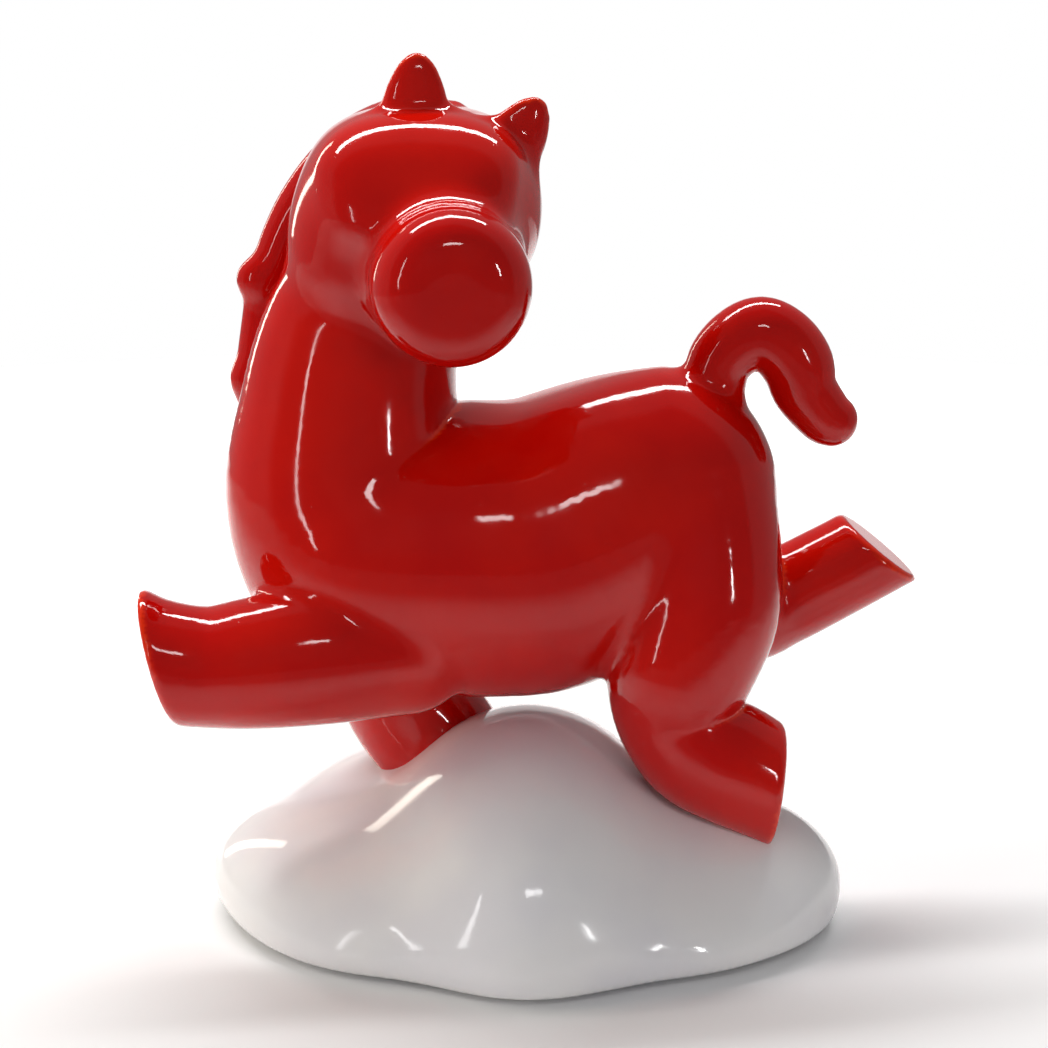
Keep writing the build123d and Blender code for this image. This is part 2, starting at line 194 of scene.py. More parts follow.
@dataclass(frozen=True)
class Egg:
    """Ellipsoid along the frame's axes, with squarer shoulders the higher its power."""

    centre: Point
    half: Point
    power: float = 2.0

    def box(self) -> tuple[Array, Array]:
        """Lowest and highest corners of the egg."""
        return np.array(self.centre) - self.half, np.array(self.centre) + self.half

    def distance(self, points: Array) -> Array:
        """Nearly true distances from the egg's surface.

        Args:
            points: Places in millimetres.

        Returns:
            One distance per point.
        """
        half = np.array(self.half, points.dtype)
        rel = points - np.array(self.centre, points.dtype)
        share = np.maximum(np.abs(rel / half), LEAST_SHARE)
        near = (share**self.power).sum(1) ** (1.0 / self.power)
        lean = (share / near[:, None]) ** (self.power - 1.0) / half
        return (near - 1.0) / np.sqrt((lean**2).sum(1))


@dataclass(frozen=True)
class Blend:
    """Several forms run into each other with a fillet."""

    forms: tuple[Form, ...]
    radius: float

    def box(self) -> tuple[Array, Array]:
        """Box round all the forms."""
        boxes = [form.box() for form in self.forms]
        return np.min([low for low, _ in boxes], 0), np.max([high for _, high in boxes], 0)

    def distance(self, points: Array) -> Array:
        """Distances of points from the blended form."""
        rows = (form.distance(points) for form in self.forms)
        return reduce(lambda total, row: smooth_min(total, row, self.radius), rows)


@dataclass(frozen=True)
class Cut:
    """Form cut flat by a plane, with the cut's rim rounded."""

    form: Form
    point: Point
    outward: Point
    rim: float

    def box(self) -> tuple[Array, Array]:
        """Box of the form before the cut."""
        return self.form.box()

    def distance(self, points: Array) -> Array:
        """Distances of points from the cut form."""
        plane = (points - np.array(self.point, points.dtype)) @ unit(self.outward).astype(points.dtype)
        return smooth_max(self.form.distance(points), plane, self.rim)


@dataclass(frozen=True)
class Petal:
    """Flattened limb with a foot, a tip, a face that looks one way and a width that follows a profile."""

    foot: Point
    tip: Point
    facing: Point
    half_width: float
    half_thickness: float
    profile: tuple[Range, ...] = ((0.0, 1.0), (0.35, 0.98), (0.7, 0.72), (0.88, 0.48))
    room: float = 1.3

    def axes(self) -> Array:
        """Directions of the petal.

        Returns:
            Columns of its thickness, width and length directions.
        """
        length = unit(np.subtract(self.tip, self.foot))
        normal = np.asarray(self.facing, float)
        normal = unit(normal - length * (normal @ length))
        return np.column_stack([normal, np.cross(length, normal), length])

    def box(self) -> tuple[Array, Array]:
        """Roomy box round the petal."""
        ends = np.array([self.foot, self.tip])
        return ends.min(0) - self.half_width * self.room, ends.max(0) + self.half_width * self.room

    def distance(self, points: Array) -> Array:
        """Distances from the petal, worked out in a frame that is stretched to make it round.

        Args:
            points: Places in millimetres.

        Returns:
            One distance per point.
        """
        stretch = self.half_width / self.half_thickness
        local = (points - np.array(self.foot, points.dtype)) @ self.axes().astype(points.dtype)
        local = local * np.array([stretch, 1.0, 1.0], points.dtype)
        length = float(np.linalg.norm(np.subtract(self.tip, self.foot)))
        spine = tuple((0.0, 0.0, share * length, wide * self.half_width) for share, wide in self.profile)
        return Tube(spine).distance(local) / stretch


@dataclass(frozen=True)
class Casting:
    """One casting: its node, its form and the fillet that joins it to the castings before it.

    Castings that share one form are parted on a seam, given as a point and its outward direction.
    """

    node: str
    form: Form
    fillet: float = 0.0
    seam: Optional[tuple[Point, Point]] = None

    def overrun(self, points: Array) -> Array:
        """How far points lie beyond the seam.

        Args:
            points: Places in millimetres.

        Returns:
            One distance per point, nought on the casting's own side.
        """
        if self.seam is None:
            return np.zeros(len(points))
        point, outward = self.seam
        return np.maximum((points - np.array(point)) @ unit(outward), 0.0)


@dataclass
class GlazeSkin:
    """Skin over several castings, parted into one closed piece per casting.

    Distances count up to the reach. The drawn points settle on the exact surface in a few rounds.
    """

    castings: list[Casting]
    voxel: float
    reach: float = 12.0
    margin_voxels: int = 4
    slope_step: float = 0.3
    least_steepness: float = 0.05
    settle_rounds: int = 2
    relax_rounds: int = 3
    edge_gain: float = 12.0
    crossing_range: Range = (0.02, 0.98)

    def fields(self, points: Array) -> Array:
        """Distance from each casting.

        Args:
            points: Places in millimetres.

        Returns:
            One row of distances per casting.
        """
        rows: dict[Form, Array] = {}
        for form in dict.fromkeys(casting.form for casting in self.castings):
            low, high = form.box()
            near = np.all((points > low - self.reach) & (points < high + self.reach), axis=1)
            row = np.full(len(points), self.reach, points.dtype)
            if near.any():
                row[near] = np.minimum(form.distance(points[near]), self.reach)
            rows[form] = row
        return np.array([rows[casting.form] for casting in self.castings])

    def total(self, points: Array) -> Array:
        """Distance from the blend of all the castings.

        Args:
            points: Places in millimetres.

        Returns:
            One distance per point.
        """
        rows = self.fields(points)
        blended = rows[0]
        for casting, row in zip(self.castings[1:], rows[1:]):
            blended = smooth_min(blended, row, casting.fillet)
        return blended

    def grid(self) -> tuple[Array, Array]:
        """Field of the whole skin on a regular grid.

        Returns:
            The grid's lowest corner and its values.
        """
        boxes = [casting.form.box() for casting in self.castings]
        low = np.min([box[0] for box in boxes], 0) - self.margin_voxels * self.voxel
        high = np.max([box[1] for box in boxes], 0) + self.margin_voxels * self.voxel
        size = np.ceil((high - low) / self.voxel).astype(int) + 1
        blended = None
        for casting in {casting.form: casting for casting in self.castings}.values():
            row = np.full(size, self.reach, np.float32)
            box_low, box_high = casting.form.box()
            first = np.maximum(np.floor((box_low - self.reach - low) / self.voxel).astype(int), 0)
            last = np.minimum(np.ceil((box_high + self.reach - low) / self.voxel).astype(int) + 1, size)
            axes = [low[i] + self.voxel * np.arange(first[i], last[i]) for i in range(3)]
            points = np.stack(np.meshgrid(*axes, indexing="ij"), -1).reshape(-1, 3).astype(np.float32)
            values = np.minimum(casting.form.distance(points), self.reach)
            row[first[0]:last[0], first[1]:last[1], first[2]:last[2]] = values.reshape(last - first)
            blended = row if blended is None else smooth_min(blended, row, casting.fillet)
        return low, blended

    def slope(self, points: Array) -> Array:
        """Gradient of the blended field.

        Args:
            points: Places in millimetres.

        Returns:
            One direction per point.
        """
        columns = []
        for axis in range(3):
            shift = np.zeros(3)
            shift[axis] = self.slope_step
            columns.append((self.total(points + shift) - self.total(points - shift)) / (2 * self.slope_step))
        return np.column_stack(columns)

    def surface(self) -> tuple[Array, Array]:
        """Skin as points on the exact surface and triangles.

        Returns:
            Points in millimetres, and triangles that face outwards.
        """
        low, values = self.grid()
        volume = openvdb.FloatGrid(self.reach)
        volume.copyFromArray(values)
        points, quads = volume.convertToQuads(0.0)
        points = points.astype(float) * self.voxel + low
        quads = quads.astype(np.int64)
        for _ in range(self.settle_rounds):
            slope = self.slope(points)
            steepness = np.maximum((slope**2).sum(1), self.least_steepness)
            points = points - slope * (self.total(points) / steepness)[:, None]
        across = np.linalg.norm(points[quads[:, 0]] - points[quads[:, 2]], axis=1)
        along = np.linalg.norm(points[quads[:, 1]] - points[quads[:, 3]], axis=1)
        first = np.where((across < along)[:, None], quads[:, [0, 1, 2]], quads[:, [0, 1, 3]])
        second = np.where((across < along)[:, None], quads[:, [0, 2, 3]], quads[:, [1, 2, 3]])
        return points, np.vstack([first, second])

    def part(self, points: Array, triangles: Array) -> tuple[Array, dict[str, Array]]:
        """Part the skin along the lines where two castings are equally near.

        Args:
            points: Points of the skin.
            triangles: Triangles of the skin.

        Returns:
            Points with those on the joints added, and the triangles of each node.
        """
        rows = self.fields(points) + np.array([casting.overrun(points) for casting in self.castings])
        owner = rows.argmin(0)
        corners = owner[triangles]
        mixed = (corners != corners[:, :1]).any(1)
        pieces = {i: [triangles[~mixed & (corners[:, 0] == i)]] for i in range(len(self.castings))}
        extra: list[Array] = []
        on_edge: dict[tuple[int, int], int] = {}

        def crossing(a: int, b: int) -> int:
            """Point on an edge where its two owners are equally near, made once per edge.

            Args:
                a: One end of the edge.
                b: Its other end.

            Returns:
                The point's number.
            """
            key = (min(a, b), max(a, b))
            if key not in on_edge:
                one, two = owner[key[0]], owner[key[1]]
                start = rows[two, key[0]] - rows[one, key[0]]
                end = rows[one, key[1]] - rows[two, key[1]]
                share = float(np.clip(start / max(start + end, TINY), *self.crossing_range))
                on_edge[key] = len(points) + len(extra)
                extra.append(points[key[0]] * (1 - share) + points[key[1]] * share)
            return on_edge[key]

        for a, b, c in triangles[mixed]:
            owners = (owner[a], owner[b], owner[c])
            if len(set(owners)) == 3:
                middle = len(points) + len(extra)
                extra.append((points[a] + points[b] + points[c]) / 3)
                ab, bc, ca = crossing(a, b), crossing(b, c), crossing(c, a)
                pieces[owners[0]].append(np.array([[a, ab, middle], [a, middle, ca]]))
                pieces[owners[1]].append(np.array([[b, bc, middle], [b, middle, ab]]))
                pieces[owners[2]].append(np.array([[c, ca, middle], [c, middle, bc]]))
                continue
            while owners[1] != owners[2]:
                a, b, c = b, c, a
                owners = (owners[1], owners[2], owners[0])
            ab, ca = crossing(a, b), crossing(c, a)
            pieces[owners[0]].append(np.array([[a, ab, ca]]))
            pieces[owners[1]].append(np.array([[ab, b, c], [ab, c, ca]]))
        points = np.vstack([points, np.array(extra)]) if extra else points
        return points, {self.castings[i].node: np.vstack(parts) for i, parts in pieces.items()}

    def turning(self, points: Array, triangles: Array) -> tuple[Array, Array]:
        """Which way the skin faces, evened out a little, and how sharply it turns outwards.

        Args:
            points: Points of the skin.
            triangles: Triangles of all its pieces.

        Returns:
            A direction of length one per point, and a value from 0 to 1 per point.
        """
        normals = row_units(self.slope(points))
        for _ in range(self.relax_rounds):
            normals = 0.5 * normals + 0.5 * neighbour_mean(triangles, normals)
        normals = row_units(normals)
        lean = neighbour_mean(triangles, normals) - normals
        return normals, np.clip(-(lean * normals).sum(1) * self.edge_gain, 0.0, 1.0)

    def dress(self, slot: Slot, material: bpy.types.Material) -> list[bpy.types.Object]:
        """Make the skin's pieces and put them in the place of their CAD nodes.

        Args:
            slot: Material slot of the pieces. It is not used.
            material: Material of the pieces.

        Returns:
            One piece per casting.
        """
        points, parts = self.part(*self.surface())
        normals, edge = self.turning(points, np.vstack(list(parts.values())))
        pieces = []
        for node, triangles in parts.items():
            piece = make_piece(f"glazed_{node}", points, triangles, normals, edge)
            piece.data.materials.append(material)
            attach(piece, "root")
            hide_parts(node)
            pieces.append(piece)
        return pieces


def neighbour_mean(triangles: Array, values: Array) -> Array:
    """Mean of the values at each point's neighbours along the triangles' edges.

    Args:
        triangles: Triangles between the points.
        values: One row of values per point.

    Returns:
        One row of means per point.
    """
    count = len(values)
    total = np.zeros_like(values)
    ties = np.zeros(count)
    for a, b in CORNER_PAIRS:
        for axis in range(values.shape[1]):
            total[:, axis] += np.bincount(triangles[:, a], values[triangles[:, b], axis], count)
        ties += np.bincount(triangles[:, a], minlength=count)
    return total / np.maximum(ties, 1)[:, None]


def close_openings(points: Array, triangles: Array) -> tuple[Array, Array]:
    """Close each opening of a piece with a shallow cone of triangles that stays inside the ornament.

    Args:
        points: Points of the piece.
        triangles: Triangles of the piece, open at its joints.

    Returns:
        Points with the cones' middles added, and the triangles of the cones.
    """
    edges = np.vstack([triangles[:, [0, 1]], triangles[:, [1, 2]], triangles[:, [2, 0]]])
    have = {(int(a), int(b)) for a, b in edges}
    follow: dict[int, list[int]] = {}
    for a, b in have:
        if (b, a) not in have:
            follow.setdefault(a, []).append(b)
    middles: list[Array] = []
    cones: list[tuple[int, int, int]] = []
    for start in sorted(follow):
        while follow[start]:
            loop = [start]
            step = follow[start].pop()
            while step != start and follow.get(step):
                loop.append(step)
                step = follow[step].pop()
            middle = len(points) + len(middles)
            middles.append(points[loop].mean(0))
            cones += [(b, a, middle) for a, b in zip(loop, loop[1:] + loop[:1])]
    if not cones:
        return points, np.zeros((0, 3), np.int64)
    return np.vstack([points, np.array(middles)]), np.array(cones)


def make_piece(name: str, points: Array, triangles: Array, normals: Array, edge: Array) -> bpy.types.Object:
    """Closed mesh piece with the skin's own normals and the glaze's thin edges marked on its points.

    Args:
        name: Name of the piece.
        points: Points of the whole skin in millimetres.
        triangles: The piece's triangles.
        normals: Outward directions at the skin's points.
        edge: How sharply the skin turns outwards at each point, from 0 to 1.

    Returns:
        The new object, linked to the scene.
    """
    used, local = np.unique(triangles, return_inverse=True)
    local = local.reshape(triangles.shape)
    closed, cones = close_openings(points[used], local)
    faces = np.vstack([local, cones])
    mesh = bpy.data.meshes.new(name)
    mesh.from_pydata((closed * MM).tolist(), [], faces.tolist())
    mesh.update()
    corner_normals = np.zeros((len(faces), 3, 3))
    corner_normals[: len(local)] = normals[used][local]
    if len(cones):
        first, second, middle = (closed[cones[:, corner]] for corner in range(3))
        corner_normals[len(local):] = row_units(np.cross(second - first, middle - first))[:, None, :]
    mesh.polygons.foreach_set("use_smooth", np.ones(len(faces), bool))
    mesh.normals_split_custom_set(corner_normals.reshape(-1, 3).tolist())
    values = np.zeros(len(closed), np.float32)
    values[: len(used)] = edge[used]
    mesh.attributes.new(EDGE_MARK, "FLOAT", "POINT").data.foreach_set("value", values)
    piece = bpy.data.objects.new(name, mesh)
    bpy.context.scene.collection.objects.link(piece)
    return piece


def smooth_range(tree: bpy.types.NodeTree, source: Socket, span: Range, result: Range) -> bpy.types.Node:
    """Node that carries a value over smoothly from one range into another and holds it there.

    Args:
        tree: Tree that the node goes into.
        source: The value.
        span: Range that it comes from.
        result: Range that it goes into.

    Returns:
        The node.
    """
    node = tree.nodes.new("ShaderNodeMapRange")
    node.interpolation_type = "SMOOTHSTEP"
    for key, value in zip(("From Min", "From Max", "To Min", "To Max"), (*span, *result)):
        node.inputs[key].default_value = value
    tree.links.new(source, node.inputs["Value"])
    return node


@dataclass(frozen=True)
class Grain:
    """Noise of one scale, the span of its values that a finish uses, and its stretch along the axes."""

    scale: float
    detail: float = 2.0
    roughness: float = 0.5
    span: Range = (0.0, 1.0)
    stretch: Optional[Point] = None


@dataclass
class Shader:
    """Node tree of one material, with short ways to add and join its nodes."""

    name: str
    material: bpy.types.Material = field(init=False)
    tree: bpy.types.NodeTree = field(init=False)
    surface: bpy.types.Node = field(init=False)

    def __post_init__(self) -> None:
        """Start an empty tree with an output and a glossy base shader."""
        self.material = bpy.data.materials.new(self.name)
        self.material.use_nodes = True
        self.tree = self.material.node_tree
        self.tree.nodes.clear()
        self.surface = self.add("ShaderNodeBsdfPrincipled")
        output = self.add("ShaderNodeOutputMaterial")
        self.join(self.surface.outputs["BSDF"], output.inputs["Surface"])

    def add(self, kind: str, **settings: object) -> bpy.types.Node:
        """New node with its properties set.

        Args:
            kind: Kind of the node.
            **settings: Its properties.

        Returns:
            The node.
        """
        node = self.tree.nodes.new(kind)
        for key, value in settings.items():
            setattr(node, key, value)
        return node

    def join(self, source: Socket, target: Socket) -> None:
        """Link from one socket to another."""
        self.tree.links.new(source, target)

    def feed(self, key: str, source: Socket) -> None:
        """Link a value into one of the surface's sockets."""
        self.join(source, self.surface.inputs[key])

    def fix(self, key: str, value: Union[float, Sequence[float]]) -> None:
        """Set one of the surface's own sockets."""
        self.surface.inputs[key].default_value = value

    def noise(self, grain: Grain) -> Socket:
        """Noise in the object's own space.

        Args:
            grain: Scale and character of the noise.

        Returns:
            Its value, from 0 to 1.
        """
        place = self.add("ShaderNodeTexCoord").outputs["Object"]
        if grain.stretch is not None:
            mapping = self.add("ShaderNodeMapping")
            mapping.inputs["Scale"].default_value = grain.stretch
            self.join(place, mapping.inputs["Vector"])
            place = mapping.outputs["Vector"]
        texture = self.add("ShaderNodeTexNoise", normalize=True)
        texture.inputs["Scale"].default_value = grain.scale
        texture.inputs["Detail"].default_value = grain.detail
        texture.inputs["Roughness"].default_value = grain.roughness
        self.join(place, texture.inputs["Vector"])
        return texture.outputs["Fac"]

    def spread(self, source: Socket, span: Range, result: Range) -> Socket:
        """Value carried over smoothly from one range into another and held there."""
        return smooth_range(self.tree, source, span, result).outputs["Result"]

    def maths(self, operation: str, *values: Union[float, Socket]) -> Socket:
        """Result of an operation on sockets and numbers.

        Args:
            operation: Name of the operation.
            *values: What it works on.

        Returns:
            The result.
        """
        node = self.add("ShaderNodeMath", operation=operation)
        for socket, value in zip(node.inputs, values):
            if isinstance(value, Socket):
                self.join(value, socket)
            else:
                socket.default_value = value
        return node.outputs["Value"]

    def tint(self, share: Socket, first: Union[Colour, Socket], last: Colour) -> Socket:
        """Mix of two colours.

        Args:
            share: Share of the last colour.
            first: A colour, or a socket that gives one.
            last: The other colour.

        Returns:
            The mixed colour.
        """
        node = self.add("ShaderNodeMix", data_type="RGBA")
        self.join(share, node.inputs["Factor"])
        if isinstance(first, Socket):
            self.join(first, node.inputs["A"])
        else:
            node.inputs["A"].default_value = (*first, 1.0)
        node.inputs["B"].default_value = (*last, 1.0)
        return node.outputs["Result"]

    def bump(
        self, height: Socket, strength: float, depth_mm: float, below: Optional[Socket] = None
    ) -> Socket:
        """Bumped normal, on top of another one if given.

        Args:
            height: Height of the bumps, from 0 to 1.
            strength: Strength of the bumps.
            depth_mm: Their depth in millimetres.
            below: Normal that they lie on.

        Returns:
            The bumped normal.
        """
        node = self.add("ShaderNodeBump")
        node.inputs["Strength"].default_value = strength
        node.inputs["Distance"].default_value = depth_mm * MM
        self.join(height, node.inputs["Height"])
        if below is not None:
            self.join(below, node.inputs["Normal"])
        return node.outputs["Normal"]


@dataclass(frozen=True)
class GlazeFinish:
    """Glossy glaze: deep where it lies thick, thinner and lighter along the edges."""

    name: str
    deep: Colour
    full: Colour
    thin: Colour
    roughness: float
    specular: float
    drift: Grain = Grain(28.0, 3.0, span=(0.35, 0.68))
    edge_span: Range = (0.1, 0.9)
    edge_share: float = 0.85
    gloss: Grain = Grain(90.0, 2.0, span=(0.3, 0.75))
    dulling: float = 2.2
    ripple: Grain = Grain(45.0, 1.0)
    ripple_strength: float = 0.5
    ripple_mm: float = 0.1
    pores: Grain = Grain(900.0, 1.0, span=(0.74, 0.8))
    pore_strength: float = 0.25
    pore_mm: float = 0.05

    def material(self) -> bpy.types.Material:
        """Node material of the glaze.

        Returns:
            The material.
        """
        shader = Shader(self.name)
        thickness = shader.spread(shader.noise(self.drift), self.drift.span, (0.0, 1.0))
        body = shader.tint(thickness, self.deep, self.full)
        marks = shader.add("ShaderNodeAttribute", attribute_name=EDGE_MARK).outputs["Fac"]
        worn = shader.spread(marks, self.edge_span, (0.0, self.edge_share))
        shader.feed("Base Color", shader.tint(worn, body, self.thin))
        gloss = (self.roughness, self.roughness * self.dulling)
        shader.feed("Roughness", shader.spread(shader.noise(self.gloss), self.gloss.span, gloss))
        ripple = shader.bump(shader.noise(self.ripple), self.ripple_strength, self.ripple_mm)
        pores = shader.spread(shader.noise(self.pores), self.pores.span, (1.0, 0.0))
        shader.feed("Normal", shader.bump(pores, self.pore_strength, self.pore_mm, ripple))
        shader.fix("Specular IOR Level", self.specular)
        return shader.material


@dataclass(frozen=True)
class FeltFinish:
    """Pressed felt: short tangled fibres with a soft sheen."""

    name: str
    colour: Colour
    shade: Colour
    fibres: Grain = Grain(1800.0, 4.0, 0.7)
    fibre_strength: float = 0.6
    fibre_mm: float = 0.3
    roughness: float = 0.95
    sheen: float = 0.4

    def material(self) -> bpy.types.Material:
        """Node material of the felt.

        Returns:
            The material.
        """
        shader = Shader(self.name)
        fibres = shader.noise(self.fibres)
        shader.feed("Base Color", shader.tint(fibres, self.shade, self.colour))
        shader.feed("Normal", shader.bump(fibres, self.fibre_strength, self.fibre_mm))
        shader.fix("Roughness", self.roughness)
        shader.fix("Sheen Weight", self.sheen)
        return shader.material


@dataclass(frozen=True)
class SteelFinish:
    """Plain drawn rod with fine marks along its length."""

    name: str
    colour: Colour
    shade: Colour
    marks: Grain = Grain(3000.0, span=(0.3, 0.7), stretch=(1.0, 1.0, 0.03))
    roughness: Range = (0.25, 0.45)

    def material(self) -> bpy.types.Material:
        """Node material of the rod.

        Returns:
            The material.
        """
        shader = Shader(self.name)
        marks = shader.noise(self.marks)
        shader.feed("Base Color", shader.tint(marks, self.shade, self.colour))
        shader.feed("Roughness", shader.spread(marks, self.marks.span, self.roughness))
        shader.fix("Metallic", 1.0)
        return shader.material


@dataclass(frozen=True)
class FloorFinish:
    """Matt floor, white in a wedge behind the ornament and greyer beside and before it.

    Places are in metres. The far floor is lifted a little, so that it runs into the white behind it.
    """

    name: str
    white: Colour = (0.94, 0.94, 0.94)
    aside: Colour = (0.34, 0.34, 0.34)
    front: Colour = (0.2, 0.2, 0.2)
    wedge_slope: float = 0.2
    wedge_half_width: float = 0.17
    aside_fade: Range = (0.0, 0.3)
    front_fade: Range = (-0.28, -0.095)
    far_fade: Range = (0.1, 0.5)
    far_lift: float = 0.5
    roughness: float = 0.7
    specular: float = 0.1

    def material(self) -> bpy.types.Material:
        """Node material of the floor.

        Returns:
            The material.
        """
        shader = Shader(self.name)
        split = shader.add("ShaderNodeSeparateXYZ")
        shader.join(shader.add("ShaderNodeTexCoord").outputs["Object"], split.inputs["Vector"])
        x, y = split.outputs["X"], split.outputs["Y"]
        reach = shader.maths("MULTIPLY_ADD", y, self.wedge_slope, self.wedge_half_width)
        past = shader.maths("SUBTRACT", shader.maths("ABSOLUTE", x), reach)
        aside = shader.spread(past, self.aside_fade, (0.0, 1.0))
        front = shader.spread(y, self.front_fade, (1.0, 0.0))
        paper = shader.tint(aside, self.white, self.aside)
        shader.feed("Base Color", shader.tint(front, paper, self.front))
        rays = shader.add("ShaderNodeLightPath").outputs
        seen = shader.maths("MAXIMUM", rays["Is Camera Ray"], rays["Is Glossy Ray"])
        seen = shader.maths("MAXIMUM", seen, rays["Is Transmission Ray"])
        lift = shader.maths("MULTIPLY", seen, shader.maths("SUBTRACT", 1.0, aside))
        far = shader.spread(y, self.far_fade, (0.0, self.far_lift))
        shader.feed("Emission Strength", shader.maths("MULTIPLY", lift, far))
        shader.fix("Emission Color", (1.0, 1.0, 1.0, 1.0))
        shader.fix("Roughness", self.roughness)
        shader.fix("Specular IOR Level", self.specular)
        return shader.material


@dataclass(frozen=True)
class Torso:
    """Barrel and neck: one round form with a flattened back, parted on a slanted seam.

    The barrel takes the first stations and the neck the last ones, and they share those in between.
    """

    stations: tuple[Station, ...] = (
        (32.8, 0, 115.0, 26.8), (18.5, 0, 106.0, 33.8), (2.0, 0, 97.2, 37.5), (-15.5, 0, 96.2, 36.9),
        (-36.0, 0, 97.3, 35.6), (-45.0, 0, 110.5, 31.6), (-45.6, 0, 128.5, 27.6), (-43.4, 0, 146.0, 24.9),
        (-38.0, 0, 162.5, 22.0), (-31.0, 2, 177.0, 20.0),
    )
    barrel_end: int = 5
    neck_start: int = 3
    back_point: Point = (3.0, 0.0, 135.0)
    back_slope_deg: float = 17.6
    back_rim: float = 2.5
    throat_fillet: float = 3.0
    seam_point: Point = (-33.5, 0.0, 118.0)
    seam_slope_deg: float = 30.0
    fillet: float = 0.001

    def form(self) -> Form:
        """Barrel with its flat back, run into the neck.

        Returns:
            The form that both castings share.
        """
        barrel = Tube(self.stations[:self.barrel_end])
        neck = Tube(self.stations[self.neck_start:])
        flat = Cut(barrel, self.back_point, upward(self.back_slope_deg), self.back_rim)
        return Blend((flat, neck), self.throat_fillet)

    def castings(self) -> list[Casting]:
        """Body below the seam and neck above it.

        Returns:
            The two castings.
        """
        form = self.form()
        above = upward(self.seam_slope_deg)
        below = (-above[0], 0.0, -above[2])
        return [
            Casting("body_shell", form, self.fillet, (self.seam_point, above)),
            Casting("neck_shell", form, self.fillet, (self.seam_point, below)),
        ]


@dataclass(frozen=True)
class Head:
    """Skull with a wide flat brow and a broad blunt muzzle, turned to the horse's left."""

    skull: Egg = Egg((-27.4, 0.0, 179.5), (29.4, 23.0, 24.0), 2.2)
    cheek: Egg = Egg((-37.0, -7.5, 173.0), (21.5, 22.0, 20.0), 2.2)
    brow: Egg = Egg((-27.0, -6.0, 188.5), (25.6, 34.0, 17.0), 2.6)
    brow_point: Point = (-27.0, -34.0, 188.5)
    brow_slope_deg: float = 35.0
    brow_rim: float = 8.0
    face_fillet: float = 8.0
    muzzle_axis: Point = (0.09, -0.99, -0.06)
    muzzle_tip: Point = (-18.1, -47.0, 168.1)
    muzzle_length: float = 34.0
    muzzle_overrun: float = 12.0
    muzzle_radii: tuple[float, float, float] = (18.8, 18.9, 18.4)
    nose_ahead: float = 6.0
    nose_rim: float = 13.0
    muzzle_fillet: float = 4.5
    fillet: float = 5.0

    def muzzle(self) -> Form:
        """Short round muzzle with a flat nose.

        Returns:
            The muzzle's form.
        """
        axis = unit(self.muzzle_axis)
        tip = np.array(self.muzzle_tip)
        root = tip - self.muzzle_length * axis
        places = (root, root + self.muzzle_length / 2 * axis, tip + self.muzzle_overrun * axis)
        tube = Tube(tuple((*place, radius) for place, radius in zip(places, self.muzzle_radii)))
        return Cut(tube, tuple(tip + self.nose_ahead * axis), tuple(axis), self.nose_rim)

    def casting(self) -> Casting:
        """Skull, cheek, brow and muzzle in one.

        Returns:
            The head's casting.
        """
        slope = math.radians(self.brow_slope_deg)
        forehead = (0.0, -math.cos(slope), math.sin(slope))
        brow = Cut(self.brow, self.brow_point, forehead, self.brow_rim)
        face = Blend((self.skull, self.cheek, brow), self.face_fillet)
        return Casting("head_shell", Blend((face, self.muzzle()), self.muzzle_fillet), self.fillet)


@dataclass(frozen=True)
class Mane:
    """Ridge from the poll down the back of the neck, with rounded locks."""

    stations: tuple[Station, ...] = (
        (-19.5, 10, 203.5, 2.9), (-32.5, 12, 202.0, 5.4), (-46.5, 14, 194.0, 5.9), (-57.5, 15, 180.5, 6.0),
        (-64.8, 15, 165.0, 5.5), (-67.8, 16, 150.0, 5.6), (-69.5, 17, 134.0, 5.6), (-68.0, 18, 117.0, 4.6),
    )
    locks: tuple[Egg, ...] = (
        Egg((-69.5, 14, 162.0), (4.5, 4.5, 4.5)),
        Egg((-71.5, 16, 136.0), (4.5, 4.5, 4.5)),
    )
    lock_fillet: float = 4.0
    fillet: float = 3.0

    def casting(self) -> Casting:
        """The mane's casting."""
        return Casting("mane", Blend((Tube(self.stations), *self.locks), self.lock_fillet), self.fillet)


@dataclass(frozen=True)
class Leg:
    """Round leg that ends in a flat hoof, with the hoof's sole given by a point and its outward direction."""

    node: str
    stations: tuple[Station, ...]
    sole_point: Point
    sole_outward: Point
    sole_rim: float
    fillet: float

    def casting(self) -> Casting:
        """The leg's casting, cut flat at the sole."""
        hoofed = Cut(Tube(self.stations), self.sole_point, self.sole_outward, self.sole_rim)
        return Casting(self.node, hoofed, self.fillet)


